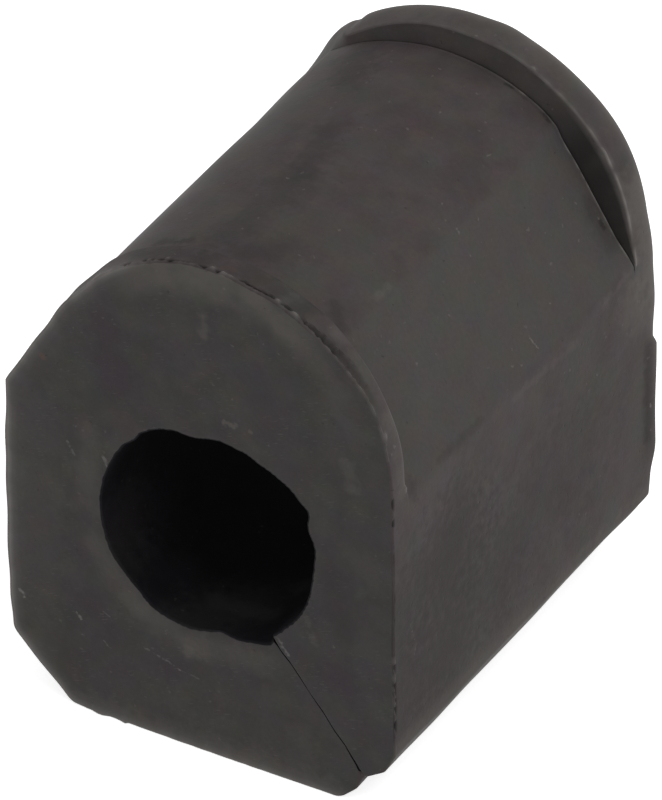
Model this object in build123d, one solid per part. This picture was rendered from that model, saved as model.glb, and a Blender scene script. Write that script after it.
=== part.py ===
from build123d import *
import math
import os

# A sway bar bushing: one moulded rubber block with a bore for the bar, slit through
# one lower corner so that it opens over the bar. A strap presses on the saddle, the
# arched top between a raised rim at each end. The rims are high over the crown and the
# right shoulder. They fade out down the left shoulder, and run into the right side.
# Lengths are in millimetres and angles in degrees. +Y runs along the bore to the rear
# end, +Z is up, and the origin is on the bore's axis, halfway between the two ends.

# Block
width = 40.0
length = 46.0
shoulder_height = 33.9
base_chamfer = 6.1
base_corner_radius = 1.5

# Saddle: an arc between two sloping flats. Its crown and edges are measured up from the
# foot of the shoulders, and its middle to the right of the block's middle.
saddle_rise = 17.1
saddle_edge_rise = 12.95
saddle_half_span = 11.75
saddle_offset = 0.75

# Rims, with their rise over the saddle's crown and the slope of their left shoulder
rim_rise = 2.4
rim_slope = 60.0
front_rim = 2.7
rear_rim = 3.4

# Bore, with its axis above the base and to the right of the block's middle
bore_diameter = 22.0
bore_height = 24.2
bore_offset = 0.6

# Slit, with the notch that leads into it and the rounded lips on both sides
slit_width = 0.3
notch_leg = 1.3
notch_root_radius = 0.3
lip_radius = 1.2

# Flare of the rear edge on the right side, with its ends above the base
flare_reach = 0.45
flare_depth = 2.2
flare_bottom = 12.0
flare_top = 24.5

half_width = width / 2

# Outlines are drawn with X across from the block's middle and Y up from the base.
bore_centre = Vector(bore_offset, bore_height)
slit_mouth = Vector(half_width - base_chamfer / 2, base_chamfer / 2)


def prism(face, start, depth):
    """Solid of an outline, from a distance behind the front end towards the rear."""
    front_plane = Plane(
        origin=(-bore_offset, start - length / 2, -bore_height),
        x_dir=(1, 0, 0),
        z_dir=(0, -1, 0),
    )
    return extrude(front_plane * face, amount=-depth)


def saddle_arc():
    """Arc of the saddle, between the upper edges of the two shoulders."""
    edge_height = shoulder_height + saddle_edge_rise
    return ThreePointArc(
        (saddle_offset - saddle_half_span, edge_height),
        (saddle_offset, shoulder_height + saddle_rise),
        (saddle_offset + saddle_half_span, edge_height),
    )


def rim_arc():
    """Arc of the rims, tangent to the left shoulder and to the right side."""
    across = math.sin(math.radians(rim_slope))
    up = math.cos(math.radians(rim_slope))
    rise = saddle_rise + rim_rise
    radius = (across * width - up * rise) / (1 + across - up)
    centre = Vector(half_width - radius, shoulder_height + rise - radius)
    left_end = centre + Vector(-across, up) * radius
    crown = centre + Vector(0, radius)
    return ThreePointArc(left_end, crown, centre + Vector(radius, 0))


def outline(top, right_shoulder):
    """Face under an arc, closed by the shoulders, the sides and the notched base."""
    half_notch = notch_leg / 2
    corners = right_shoulder + [
        ((half_width, base_chamfer), base_corner_radius),
        (slit_mouth + Vector(half_notch, half_notch), lip_radius),
        (slit_mouth + Vector(-half_notch, half_notch), notch_root_radius),
        (slit_mouth + Vector(-half_notch, -half_notch), lip_radius),
        ((half_width - base_chamfer, 0), base_corner_radius),
        ((base_chamfer - half_width, 0), base_corner_radius),
        ((-half_width, base_chamfer), base_corner_radius),
        ((-half_width, shoulder_height), 0),
    ]
    points = [point for point, _ in corners]
    radii = [radius for _, radius in corners]
    walls = FilletPolyline(top @ 1, *points, top @ 0, radius=radii)
    return make_face(Curve() + [top, walls])


def block():
    """Solid block: the saddle's outline along the whole length, and a rim at each end."""
    saddle = outline(saddle_arc(), [((half_width, shoulder_height), 0)])
    rim = outline(rim_arc(), [])
    body = prism(saddle, 0, length)
    return body + prism(rim, 0, front_rim) + prism(rim, length - rear_rim, rear_rim)


def flare():
    """Thin wedge on the rear end of the right side, where the rubber bulged out."""
    side = half_width - bore_offset
    rear = length / 2
    wedge = Polyline(
        (side, rear - flare_depth),
        (side + flare_reach, rear),
        (side, rear),
        close=True,
    )
    lift = Pos(0, 0, flare_bottom - bore_height)
    return lift * extrude(make_face(wedge), amount=flare_top - flare_bottom)


def opening():
    """Bore for the bar, and the slit from its axis to the notch in the lower corner."""
    route = slit_mouth - bore_centre
    angle = math.degrees(math.atan2(route.Y, route.X))
    slit = Rectangle(route.length, slit_width, align=(Align.MIN, Align.CENTER))
    place = Pos(bore_centre.X, bore_centre.Y)
    face = place * Circle(bore_diameter / 2) + place * Rot(Z=angle) * slit
    return prism(face, 0, length)


os.makedirs("parts", exist_ok=True)
bushing = block() + flare() - opening()
export_step(bushing, "parts/bushing.step")
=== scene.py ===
"""A sway bar bushing of moulded rubber, dressed for its portrait.

Lengths are in millimetres while a form is drawn: x to the right of the block's middle,
y behind its front end and z above its base. Angles are in degrees about the bore's
axis, from the right side up over the crown. Meshes and lamps come out in metres.
"""
import logging
import math
from dataclasses import dataclass
from enum import Enum

import bpy
import numpy as np
from mathutils import Matrix, Vector


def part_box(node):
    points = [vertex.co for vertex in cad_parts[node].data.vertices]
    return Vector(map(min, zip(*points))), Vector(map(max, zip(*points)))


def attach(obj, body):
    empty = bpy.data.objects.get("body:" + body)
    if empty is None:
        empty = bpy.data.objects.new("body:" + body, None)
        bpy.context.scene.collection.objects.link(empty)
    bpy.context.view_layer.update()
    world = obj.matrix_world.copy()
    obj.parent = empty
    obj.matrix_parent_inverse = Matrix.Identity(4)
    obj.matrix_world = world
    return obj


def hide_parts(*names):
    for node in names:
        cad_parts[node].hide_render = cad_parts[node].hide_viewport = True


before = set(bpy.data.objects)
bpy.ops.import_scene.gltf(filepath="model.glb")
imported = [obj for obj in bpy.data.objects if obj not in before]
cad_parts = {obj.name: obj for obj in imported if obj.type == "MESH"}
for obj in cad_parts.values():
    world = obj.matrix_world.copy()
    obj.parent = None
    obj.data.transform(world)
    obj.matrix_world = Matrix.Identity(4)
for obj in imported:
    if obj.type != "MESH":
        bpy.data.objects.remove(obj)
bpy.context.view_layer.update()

MM = 0.001
NODE = "bushing"
LOG = logging.getLogger("bushing")

Span = tuple[float, float]
Window = tuple[Span, Span]
Spot = tuple[float, float, float]
Colour = tuple[float, float, float, float]
Socket = bpy.types.NodeSocket
Input = Socket | float | Spot | Colour


def ramp(value: np.ndarray, start: float, end: float) -> np.ndarray:
    """Rise smoothly from 0 to 1.

    Args:
        value: The places at which the rise is wanted.
        start: The place where it leaves 0.
        end: The place where it reaches 1.

    Returns:
        One share for each place.
    """
    share = np.clip((value - start) / (end - start), 0.0, 1.0)
    return share * share * (3.0 - 2.0 * share)


def window(value: np.ndarray, rise: Span, fall: Span) -> np.ndarray:
    """Share that rises to 1 over one span and falls back to 0 over another."""
    return ramp(value, *rise) * (1.0 - ramp(value, *fall))


def hump(value: np.ndarray, centre: float, spread: float) -> np.ndarray:
    """Bell of height 1.

    Args:
        value: The places at which the bell is wanted.
        centre: The place of its top.
        spread: The distance at which it has fallen to about a third.

    Returns:
        One height for each place.
    """
    return np.exp(-(((value - centre) / spread) ** 2))


def patchy(angles: np.ndarray, depth: float, paces: Span, shift: float = 0.0) -> np.ndarray:
    """Strength near 1 that comes and goes along an edge.

    Args:
        angles: The directions about the bore.
        depth: How far the strength falls off.
        paces: How fast its two waves run, for each degree.
        shift: How far the second wave is moved.

    Returns:
        One strength for each direction.
    """
    waves = np.sin(angles * paces[0]) * np.sin(angles * paces[1] + shift)
    return 1.0 - depth + depth * waves


def spaced(start: float, end: float, density: "Density", fineness: int = 6000) -> np.ndarray:
    """Places along a line, closer together where the density is higher.

    Args:
        start: The first place.
        end: The last place.
        density: Gives the places wanted for each unit of length.
        fineness: At how many places the density is read.

    Returns:
        The places, from start to end.
    """
    fine = np.linspace(start, end, fineness)
    wanted = density(fine)
    total = np.concatenate([[0.0], np.cumsum((wanted[1:] + wanted[:-1]) / 2 * np.diff(fine))])
    count = int(round(total[-1])) + 1
    return np.interp(np.linspace(0.0, total[-1], count), total, fine)


@dataclass(frozen=True)
class Density:
    """Places for each unit of length: a base value, and more within some bands.

    Args:
        base: The places for each unit of length outside the bands.
        bands: The start, the end and the added density of each band.
    """

    base: float
    bands: tuple[tuple[float, float, float], ...]

    def __call__(self, places: np.ndarray) -> np.ndarray:
        """Density at each of the places.

        Args:
            places: The places along the line.

        Returns:
            One density for each place.
        """
        total = np.full_like(places, self.base)
        for start, end, more in self.bands:
            total = total + more * ((places >= start) & (places <= end))
        return total


@dataclass(frozen=True)
class Corner:
    """Corner of an outline, with the radius that rounds it."""

    x: float
    z: float
    radius: float = 0.0

    @property
    def point(self) -> np.ndarray:
        """The corner's place."""
        return np.array([self.x, self.z])


def rounded(corners: list[Corner], count: int = 9) -> np.ndarray:
    """Draw straight lines between corners and round the corners off.

    Args:
        corners: The corners in order. The first and the last stay sharp.
        count: How many points each rounded corner gets.

    Returns:
        The points of the line.
    """
    points = [corners[0].point]
    for before, corner, after in zip(corners, corners[1:], corners[2:]):
        back = before.point - corner.point
        ahead = after.point - corner.point
        back /= np.linalg.norm(back)
        ahead /= np.linalg.norm(ahead)
        half = math.acos(float(np.clip(back @ ahead, -1.0, 1.0))) / 2
        run = corner.radius / math.tan(half)
        for share in np.linspace(0.0, 1.0, count):
            points.append(corner.point + back * run * (1 - share) ** 2 + ahead * run * share**2)
    points.append(corners[-1].point)
    return np.array(points)


def arc(centre: Span, radius: float, start: float, end: float, count: int = 120) -> np.ndarray:
    """Points of a circle's arc.

    Args:
        centre: The circle's centre.
        radius: The circle's radius.
        start: The angle at which the arc starts, in degrees.
        end: The angle at which it ends.
        count: How many points it gets.

    Returns:
        The points of the arc.
    """
    turn = np.radians(np.linspace(start, end, count))
    return np.stack([centre[0] + radius * np.cos(turn), centre[1] + radius * np.sin(turn)], 1)


@dataclass(frozen=True)
class Kink:
    """Place where two stretches of an outline meet, and how softly.

    Args:
        angle: Its direction from the bore's axis.
        spread: How far the softening reaches to each side, in degrees.
    """

    angle: float
    spread: float


@dataclass(frozen=True)
class Section:
    """Cross section of the block, as seen from its front end.

    Args:
        width: The block's width.
        foot: The height at which the shoulders start.
        chamfer: The leg of the cut lower corners.
        bore: The bore's axis, across and up.
        bore_radius: The bore's radius.
        root: The root of the notch that leads into the slit.
        crown: The height of the saddle's crown.
        saddle_left: The saddle's upper edge on the left shoulder.
        saddle_right: The saddle's upper edge on the right shoulder.
        rim_radius: The radius of the rims' arc, which is tangent to the right side.
        rim_crown: The height of the rims' crown.
        rim_slope: The slope of the rims' left shoulder.
        saddle_kinks: The soft edges of the saddle's flat shoulders.
        right_lip: The corners of the lip on the slit's right.
        left_lip: The corners of the lip on its left.
        chamfer_round: The radius of the cut lower corners.
        shoulder_round: The radius at which the left shoulder starts.
        step: The distance between points of an outline.
        turn_step: The distance between the directions in which its reach is read.
    """

    width: float = 40.0
    foot: float = 33.9
    chamfer: float = 6.1
    bore: Span = (0.6, 24.2)
    bore_radius: float = 11.0
    root: Span = (16.42, 3.8)
    crown: float = 51.0
    saddle_left: Span = (-11.0, 46.85)
    saddle_right: Span = (12.5, 46.85)
    rim_radius: float = 18.22
    rim_crown: float = 53.4
    rim_slope: float = 60.0
    saddle_kinks: tuple[Kink, ...] = (Kink(26.6, 1.8), Kink(62.3, 1.6), Kink(117.1, 3.0))
    right_lip: tuple[Corner, ...] = (
        Corner(16.95, 3.2, 0.35),
        Corner(18.85, 4.45, 1.0),
        Corner(20.0, 6.6, 0.9),
    )
    left_lip: tuple[Corner, ...] = (
        Corner(14.3, 0.0, 1.5),
        Corner(16.0, 1.6, 1.1),
        Corner(16.5, 2.75, 0.3),
    )
    chamfer_round: float = 1.5
    shoulder_round: float = 0.6
    step: float = 0.04
    turn_step: float = 0.1

    @property
    def half(self) -> float:
        """Half the block's width."""
        return self.width / 2

    @property
    def rim_centre(self) -> Span:
        """Centre of the rims' arc."""
        return (self.half - self.rim_radius, self.rim_crown - self.rim_radius)

    @property
    def slit_angle(self) -> float:
        """Direction of the slit from the bore's axis."""
        return math.degrees(math.atan2(self.root[1] - self.bore[1], self.root[0] - self.bore[0]))

    def right_wall(self) -> list[Corner]:
        """Corners from the notch's root over the right lip to the right side."""
        return [Corner(*self.root), *self.right_lip]

    def left_wall(self) -> list[Corner]:
        """Corners from the left shoulder down, along the base and over the left lip.

        Returns:
            The corners, in the order in which the outline passes them.
        """
        return [
            Corner(-self.half, self.foot, self.shoulder_round),
            Corner(-self.half, self.chamfer, self.chamfer_round),
            Corner(self.chamfer - self.half, 0.0, self.chamfer_round),
            *self.left_lip,
            Corner(*self.root),
        ]

    def saddle(self) -> np.ndarray:
        """Outline of the saddle, from the notch's root right round to it.

        Returns:
            The points of the outline.
        """
        left, right = self.saddle_left, self.saddle_right
        middle = (left[0] + right[0]) / 2
        span = (right[0] - left[0]) / 2
        rise = self.crown - left[1]
        radius = (span**2 + rise**2) / (2 * rise)
        tilt = math.degrees(math.asin(span / radius))
        start = rounded(self.right_wall() + [Corner(self.half, self.foot), Corner(*right)])
        top = arc((middle, self.crown - radius), radius, 90.0 - tilt, 90.0 + tilt)
        end = rounded([Corner(*left)] + self.left_wall())
        return self.dense(np.concatenate([start, top, end]))

    def rim(self) -> np.ndarray:
        """Outline of a rim, from the notch's root right round to it.

        Returns:
            The points of the outline.
        """
        start = rounded(self.right_wall() + [Corner(self.half, self.rim_centre[1])])
        top = arc(self.rim_centre, self.rim_radius, 0.0, 90.0 + self.rim_slope)
        end = rounded([Corner(*top[-1])] + self.left_wall())
        return self.dense(np.concatenate([start, top, end]))

    def dense(self, points: np.ndarray) -> np.ndarray:
        """Points along the same line, one for each step of length.

        Args:
            points: The points where the line turns.

        Returns:
            The evenly spaced points.
        """
        lengths = np.linalg.norm(np.diff(points, axis=0), axis=1)
        points = points[np.concatenate([[True], lengths > 1e-6])]
        lengths = np.linalg.norm(np.diff(points, axis=0), axis=1)
        run = np.concatenate([[0.0], np.cumsum(lengths)])
        places = np.arange(0.0, run[-1], self.step)
        return np.stack([np.interp(places, run, points[:, axis]) for axis in (0, 1)], 1)

    def reach(
        self, outline: np.ndarray, angles: np.ndarray, kinks: tuple[Kink, ...] = ()
    ) -> np.ndarray:
        """Distance from the bore's axis to an outline.

        Args:
            outline: The outline's points, from the notch's root right round to it.
            angles: The directions in degrees, upwards from the slit's.
            kinks: The places at which the outline is softened.

        Returns:
            One distance for each direction.
        """
        across = outline[:, 0] - self.bore[0]
        up = outline[:, 1] - self.bore[1]
        turn = np.degrees(np.unwrap(np.arctan2(up, across)))
        fine = np.arange(turn[0], turn[-1], self.turn_step)
        reach = np.interp(fine, turn, np.hypot(across, up))
        for kink in kinks:
            tail = 4 * kink.spread
            blur = hump(np.arange(-tail, tail, self.turn_step), 0.0, kink.spread)
            soft = np.convolve(reach, blur / blur.sum(), "same")
            reach = reach + (soft - reach) * hump(fine, kink.angle, 3 * kink.spread)
        return np.interp(angles, fine, reach)


@dataclass(frozen=True)
class Dent:
    """Soft hump or hollow in the outer wall, or a change of the bore's mouth.

    Args:
        angle: Its middle, about the bore's axis.
        spread: Its half width in degrees.
        height: How far it stands out, or goes in where it is less than 0.
        y: Its middle behind the front end.
        reach: Its half width along the block.
    """

    angle: float
    spread: float
    height: float
    y: float = 0.0
    reach: float = 1e6

    def share(self, angles: np.ndarray, y: np.ndarray) -> np.ndarray:
        """How much of its height it has at each angle and place along the block."""
        return hump(angles, self.angle, self.spread) * hump(y, self.y, self.reach)

    def lift(self, angles: np.ndarray, y: np.ndarray) -> np.ndarray:
        """How far the wall moves out at each angle and place along the block."""
        return self.height * self.share(angles, y)


@dataclass(frozen=True)
class Knot:
    """One place along a cut.

    Args:
        angle: Its direction from the bore's axis.
        y: The middle of the cut, behind the front end.
        half: Half the cut's width.
        depth: Its depth.
    """

    angle: float
    y: float
    half: float
    depth: float


@dataclass(frozen=True)
class Cut:
    """Crack or torn hollow that runs round the outer wall.

    Args:
        knots: Its places in the order of their angles. It is shallow outside them.
        steep: The share of its width in which its front side drops.
        gentle: The share of its width in which its rear side climbs.
        shade_strength: How much painted shade it gets for each millimetre of its depth.
        stray: How far its middle usually strays along the block.
        seed: The seed of that straying.
        stray_step: How often it strays, in degrees.
    """

    knots: tuple[Knot, ...]
    steep: float = 0.3
    gentle: float = 0.7
    shade_strength: float = 2.0
    stray: float = 0.05
    seed: int = 31
    stray_step: float = 0.6

    def depth(self, angles: np.ndarray, y: np.ndarray) -> np.ndarray:
        """Depth of the cut at each angle and place along the block.

        Args:
            angles: The directions about the bore.
            y: The places behind the front end.

        Returns:
            One distance for each direction and place.
        """
        places = [knot.angle for knot in self.knots]
        marks = np.arange(places[0], places[-1] + self.stray_step, self.stray_step)
        astray = np.random.default_rng(self.seed).normal(0.0, self.stray, len(marks))
        middle = np.interp(angles, places, [knot.y for knot in self.knots])
        middle = middle + np.interp(angles, marks, astray)
        half = np.interp(angles, places, [knot.half for knot in self.knots])
        depth = np.interp(angles, places, [knot.depth for knot in self.knots], left=0.0, right=0.0)
        across = (y - middle) / half / 2 + 0.5
        drop = np.clip(across / self.steep, 0.0, 1.0)
        climb = np.clip((1.0 - across) / self.gentle, 0.0, 1.0)
        return depth * np.minimum(drop, climb)


@dataclass(frozen=True)
class Ripple:
    """Gentle unevenness of moulded rubber: waves in seeded random directions.

    Args:
        seed: The seed of the random directions.
        wavelength: The length of the waves, in millimetres.
        height: The usual height of the unevenness.
        waves: How many waves are added up.
        shortest: The shortest wave, as a share of the wavelength.
        longest: The longest one.
    """

    seed: int
    wavelength: float
    height: float
    waves: int = 14
    shortest: float = 0.7
    longest: float = 1.6

    def __call__(self, points: np.ndarray) -> np.ndarray:
        """Height of the unevenness at each point of an array whose last axis is x, y, z.

        Args:
            points: The points, in millimetres.

        Returns:
            One height for each point.
        """
        draw = np.random.default_rng(self.seed)
        total = np.zeros(points.shape[:-1])
        for _ in range(self.waves):
            way = draw.normal(size=3)
            way /= np.linalg.norm(way)
            pace = math.tau / (self.wavelength * draw.uniform(self.shortest, self.longest))
            total += np.sin(points @ way * pace + draw.uniform(0.0, math.tau))
        return total * self.height / math.sqrt(self.waves / 2)


@dataclass(frozen=True)
class RaggedLine:
    """Broken line along an edge, made of seeded random bits.

    Args:
        seed: The seed of the random heights.
        start: The angle at which it starts.
        end: The angle at which it ends.
        height: The greatest height of a bit, or its depth where it is less than 0.
        y: The line's middle behind the front end.
        half: Half its width.
        step: The distance between two heights, in degrees.
        gaps: The share of the line that is bare.
    """

    seed: int
    start: float
    end: float
    height: float
    y: float = 0.12
    half: float = 0.12
    step: float = 0.7
    gaps: float = 0.4

    def lift(self, angles: np.ndarray, y: np.ndarray) -> np.ndarray:
        """How far the wall moves out at each angle and place along the block."""
        return self.height * self.share(angles, y)

    def share(self, angles: np.ndarray, y: np.ndarray) -> np.ndarray:
        """How much of its height the line has at each angle and place along the block.

        Args:
            angles: The directions about the bore.
            y: The places behind the front end.

        Returns:
            One share for each direction and place.
        """
        places = np.arange(self.start, self.end, self.step)
        draw = np.random.default_rng(self.seed)
        bits = np.clip((draw.random(len(places)) - self.gaps) / (1.0 - self.gaps), 0.0, 1.0)
        return np.interp(angles, places, bits, left=0.0, right=0.0) * hump(y, self.y, self.half)


@dataclass(frozen=True)
class Rims:
    """The raised rims at the two ends, and how each stands up from the saddle.

    Args:
        front: The front rim's length along the block.
        rear: The rear rim's length.
        draft: The length along the block in which a rim's wall rises.
        slack: How much longer that is at the rims' left ends, where they fade out.
        front_round: The radius of the upper edge of the front rim's wall.
        rear_round: The radius of the upper edge of the rear rim's wall.
        firm: The directions over which the front rim's edge gets firmer.
        firmness: How much of its radius it loses there.
        gap_depth: How deep the groove behind the saddle's rear edge goes.
        gap_width: How wide that groove is.
        gap_slope: The width of its sloping side.
        lip: How far the saddle's rear edge stands up in front of that groove.
        lip_line: Where the lip runs, behind the foot of the rear rim's wall, and its spread.
        bead: How far the upper edge of the rear rim's wall stands up.
        bead_line: Where that bead runs, behind the foot of the rear rim's wall, and its spread.
        wall: The directions in which the rear rim's wall stands clear of the saddle.
        top_edge_end: The directions over which the bead and the painted highlight on its upper edge
            get weaker.
        top_edge_fall: How much weaker they are from there on.
        fade: The directions over which the rims' walls start to fade out.
        crest_rises: The directions over which painted shade sets in on the front rim's crest.
        crest_shares: How much of that shade sets in over each of these.
        crest_end: The directions over which it ends.
        crest_spread: How far it spreads along the block.
        dents: Where the rims are higher or lower than their arc.
    """

    front: float = 2.7
    rear: float = 3.4
    draft: float = 0.12
    slack: float = 2.8
    front_round: float = 1.0
    rear_round: float = 0.45
    firm: Span = (44.0, 68.0)
    firmness: float = 0.75
    gap_depth: float = 0.4
    gap_width: float = 0.14
    gap_slope: float = 0.05
    lip: float = 0.1
    lip_line: Span = (-0.2, 0.06)
    bead: float = 0.07
    bead_line: Span = (0.22, 0.13)
    wall: Window = ((24.0, 30.0), (100.0, 124.0))
    top_edge_end: Span = (56.0, 78.0)
    top_edge_fall: float = 0.8
    fade: Span = (112.0, 118.5)
    crest_rises: Window = ((38.0, 56.0), (58.0, 76.0))
    crest_shares: Span = (0.7, 0.3)
    crest_end: Span = (112.0, 122.0)
    crest_spread: float = 0.28
    dents: tuple[Dent, ...] = (
        Dent(119.0, 7.0, -0.6, 1.0, 2.4),
        Dent(110.0, 4.0, -0.2, 0.0, 3.0),
        Dent(132.5, 5.0, -0.2, 0.0, 3.0),
        Dent(148.0, 8.0, -0.14, 0.0, 3.0),
        Dent(103.0, 7.0, -0.2, 0.0, 3.0),
        Dent(80.0, 3.0, -0.18, 0.0, 2.0),
        Dent(49.0, 9.0, 0.36, 0.0, 2.2),
        Dent(38.0, 7.0, 0.15, 2.2, 1.5),
        Dent(128.5, 4.5, -0.32, 46.0, 4.0),
        Dent(136.0, 3.5, -0.2, 46.0, 4.0),
        Dent(118.5, 3.5, 0.14, 46.0, 4.0),
        Dent(113.0, 1.4, -0.2, 46.0, 1.6),
        Dent(103.0, 8.0, -0.07, 46.0, 4.0),
        Dent(80.0, 3.5, 0.22, 46.0, 2.2),
        Dent(72.0, 14.0, 0.2, 46.0, 2.6),
        Dent(52.5, 10.0, 0.47, 46.0, 2.4),
        Dent(110.0, 8.0, -0.35, 42.6, 1.6),
        Dent(76.0, 6.0, 0.12, 42.6, 1.2),
    )

    def share(self, angles: np.ndarray, y: np.ndarray, length: float) -> np.ndarray:
        """How far the block has risen from the saddle to the rims.

        Args:
            angles: The directions about the bore.
            y: The places behind the front end.
            length: The block's length.

        Returns:
            A share for each place, 0 on the saddle and 1 on a rim.
        """
        draft = self.draft + self.slack * ramp(angles, *self.fade)
        front = np.clip((self.front - y) / draft + 1.0, 0.0, 1.0)
        rear = np.clip(self.behind(y, length) / draft, 0.0, 1.0)
        return front + rear

    def behind(self, y: np.ndarray, length: float) -> np.ndarray:
        """How far places lie behind the foot of the rear rim's wall."""
        return y - (length - self.rear)

    def lift(self, angles: np.ndarray, y: np.ndarray) -> np.ndarray:
        """How far the rims stand out from their arc.

        Args:
            angles: The directions about the bore.
            y: The places behind the front end.

        Returns:
            One distance for each direction and place.
        """
        total = 0.0
        for dent in self.dents:
            total = total + dent.lift(angles, y)
        return total

    def worn(self, angles: np.ndarray, y: np.ndarray, length: float) -> np.ndarray:
        """How far the rounded upper edges of the rims' walls have drawn back.

        Args:
            angles: The directions about the bore.
            y: The places behind the front end.
            length: The block's length.

        Returns:
            One distance for each direction and place.
        """
        in_front = y < length / 2
        front_round = self.front_round * (1.0 - self.firmness * ramp(angles, *self.firm))
        inside = np.where(in_front, self.front + self.draft - y, self.behind(y, length))
        radius = np.where(in_front, front_round, self.rear_round)
        near = np.clip(radius - inside, 0.0, radius)
        return radius - np.sqrt(radius**2 - near**2)

    def lip_share(self, angles: np.ndarray, y: np.ndarray, length: float) -> np.ndarray:
        """Where the thin lip stands on the saddle's rear edge."""
        return window(angles, *self.wall) * hump(self.behind(y, length), *self.lip_line)

    def gap_share(self, angles: np.ndarray, y: np.ndarray, length: float) -> np.ndarray:
        """Where the gap runs between that lip and the rear rim's wall.

        Args:
            angles: The directions about the bore.
            y: The places behind the front end.
            length: The block's length.

        Returns:
            One share for each direction and place.
        """
        behind = self.behind(y, length)
        inside = np.clip((behind + self.gap_width) / self.gap_slope, 0.0, 1.0) * (behind <= 0.01)
        return window(angles, *self.wall) * inside

    def wall_share(self, angles: np.ndarray, y: np.ndarray, length: float) -> np.ndarray:
        """Where the rear rim's wall stands."""
        behind = self.behind(y, length)
        return (behind >= 0.0) * (behind <= 0.8 * self.draft) * window(angles, *self.wall)

    def crest_share(self, angles: np.ndarray, y: np.ndarray) -> np.ndarray:
        """Where painted shade lies along the rear edge of the front rim's crest.

        Args:
            angles: The directions about the bore.
            y: The places behind the front end.

        Returns:
            One share for each direction and place.
        """
        along = 1.0 - ramp(angles, *self.crest_end)
        sides = sum(
            share * ramp(angles, *rise) for share, rise in zip(self.crest_shares, self.crest_rises)
        )
        return sides * along * hump(y, self.front + self.draft, self.crest_spread)

    def bead_share(self, angles: np.ndarray, y: np.ndarray, length: float) -> np.ndarray:
        """Where the bead runs along the upper edge of the rear rim's wall.

        Args:
            angles: The directions about the bore.
            y: The places behind the front end.
            length: The block's length.

        Returns:
            One share for each direction and place.
        """
        along = window(angles, *self.wall) * self.top_edge_strength(angles)
        uneven = patchy(angles, 0.4, (0.55, 0.23), 1.0)
        return along * uneven * hump(self.behind(y, length), *self.bead_line)

    def top_edge_strength(self, angles: np.ndarray) -> np.ndarray:
        """How strong the bead and the painted highlight along the upper edge of the rear rim's wall
        are, by direction.
        """
        return 1.0 - self.top_edge_fall * ramp(angles, *self.top_edge_end)


@dataclass(frozen=True)
class Flare:
    """Bulge of the right side towards its rear edge.

    Args:
        lean: How far the whole side leans out at the rear end.
        lean_start: Where the lean starts, behind the front end.
        reach: How far the flare stands out beyond it.
        depth: The flare's length along the block.
        bottom: The height of its lower end.
        top: The height of its upper end.
        rise: How much higher its upper end lies for each millimetre towards the front.
        soft_bottom: How far its lower end is softened.
        soft_top: How far its upper end is softened.
        lean_heights: The heights over which the lean sets in and ends.
        widest: The steepest direction that still meets the side.
    """

    lean: float = 0.44
    lean_start: float = 20.0
    reach: float = 0.43
    depth: float = 1.7
    bottom: float = 11.2
    top: float = 24.1
    rise: float = 0.35
    soft_bottom: float = 2.2
    soft_top: float = 0.4
    lean_heights: Window = ((2.5, 13.0), (33.0, 38.5))
    widest: float = 60.0

    def lift(self, angles: np.ndarray, y: np.ndarray, section: Section, length: float) -> np.ndarray:
        """How far the wall moves away from the bore's axis at each angle and place.

        Args:
            angles: The directions about the bore.
            y: The places behind the front end.
            section: The block's cross section.
            length: The block's length.

        Returns:
            One distance for each direction and place.
        """
        turn = np.radians(np.clip(angles, -self.widest, self.widest))
        side = section.half - section.bore[0]
        height = section.bore[1] + side * np.tan(turn)
        tall = window(height, *self.lean_heights)
        lean = self.lean * tall * ramp(y, self.lean_start, length)
        top = self.top + self.rise * (length - y)
        lower = (self.bottom - self.soft_bottom, self.bottom + self.soft_bottom)
        band = window(height, lower, (top - self.soft_top, top + self.soft_top))
        flare = self.reach * band * np.clip((y - length + self.depth) / self.depth, 0.0, 1.0)
        return np.where(np.abs(angles) < self.widest, (lean + flare) / np.cos(turn), 0.0)


@dataclass(frozen=True)
class Slit:
    """The slit that opens the bore. It stands open a little and sways.

    Args:
        width: Its width.
        lip: How much wider it opens at the bore.
        lip_depth: How far from the bore that reaches.
        foot: How much wider it gets towards its outer end.
        foot_depth: How far in from there that reaches.
        sway: How far it strays from a straight line.
        give: How far from the slit the rubber gives way to it.
    """

    width: float = 0.08
    lip: float = 0.25
    lip_depth: float = 0.6
    foot: float = 0.11
    foot_depth: float = 3.0
    sway: float = 0.07
    give: float = 0.8

    def shift(
        self, turn: np.ndarray, reach: np.ndarray, inner: np.ndarray, outer: np.ndarray
    ) -> np.ndarray:
        """How far its two walls, and what is next to them, move across it.

        Args:
            turn: The directions in degrees, upwards from the slit's.
            reach: The distances from the bore's axis.
            inner: The bore's radius there.
            outer: The outer wall's distance there.

        Returns:
            One distance for each point, upwards where it is more than 0.
        """
        arm = np.radians(np.minimum(turn, 360.0 - turn)) * reach
        side = np.where(turn < 180.0, 1.0, -1.0)
        lip = self.lip * np.exp(-(reach - inner) / self.lip_depth)
        foot = self.foot * np.exp(-np.maximum(outer - reach, 0.0) / self.foot_depth)
        gap = (self.width + lip + foot) / 2 * np.exp(-arm / self.give)
        waves = np.sin(reach * 1.4) + 0.5 * np.sin(reach * 3.3)
        sway = self.sway * waves * np.exp(-arm / 2.0) * np.clip((reach - inner) / 2.0, 0.0, 1.0)
        return side * gap + sway


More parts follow.
